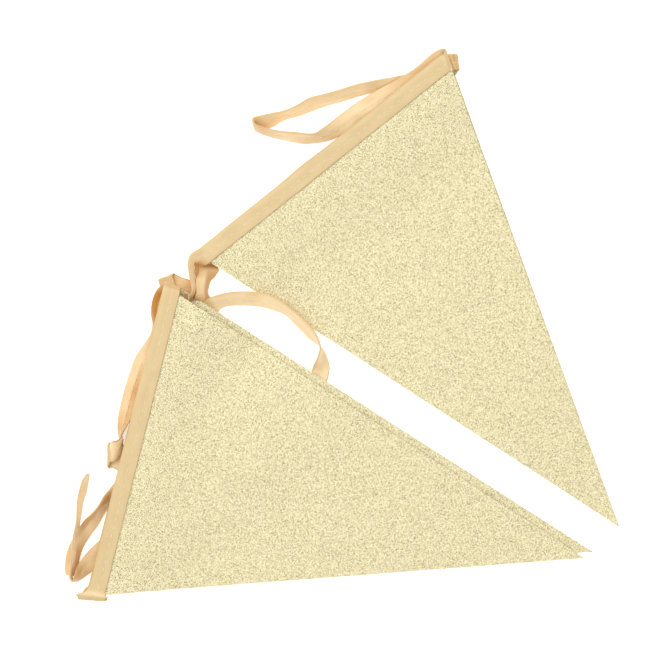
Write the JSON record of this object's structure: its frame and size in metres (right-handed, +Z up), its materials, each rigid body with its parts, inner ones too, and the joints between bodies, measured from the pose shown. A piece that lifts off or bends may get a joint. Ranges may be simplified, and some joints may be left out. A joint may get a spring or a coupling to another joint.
{
  "type": "fabric bunting",
  "caption": "Fabric bunting: glitter-cloth pennants on one folded binding tape, put down flat in overlapping stacks with looped and free ends.",
  "frame": {"origin": "on the surface that the bunting lies on, under the middle of its outline", "axes": "+Z up from the surface; +X to the right and +Y to the back of the flat lay as seen from above"},
  "size_m": [0.2951, 0.2922, 0.014],
  "materials": {
    "glitter_cloth": "fine pale gold glitter",
    "satin_tape": "soft satin, apricot"
  },
  "bodies": {
    "root": {"pennant_right_lower": "glitter_cloth", "pennant_right_upper": "glitter_cloth", "pennant_left_lower": "glitter_cloth", "pennant_left_upper": "glitter_cloth", "binding_tape": "satin_tape"}
  },
  "joints": []
}
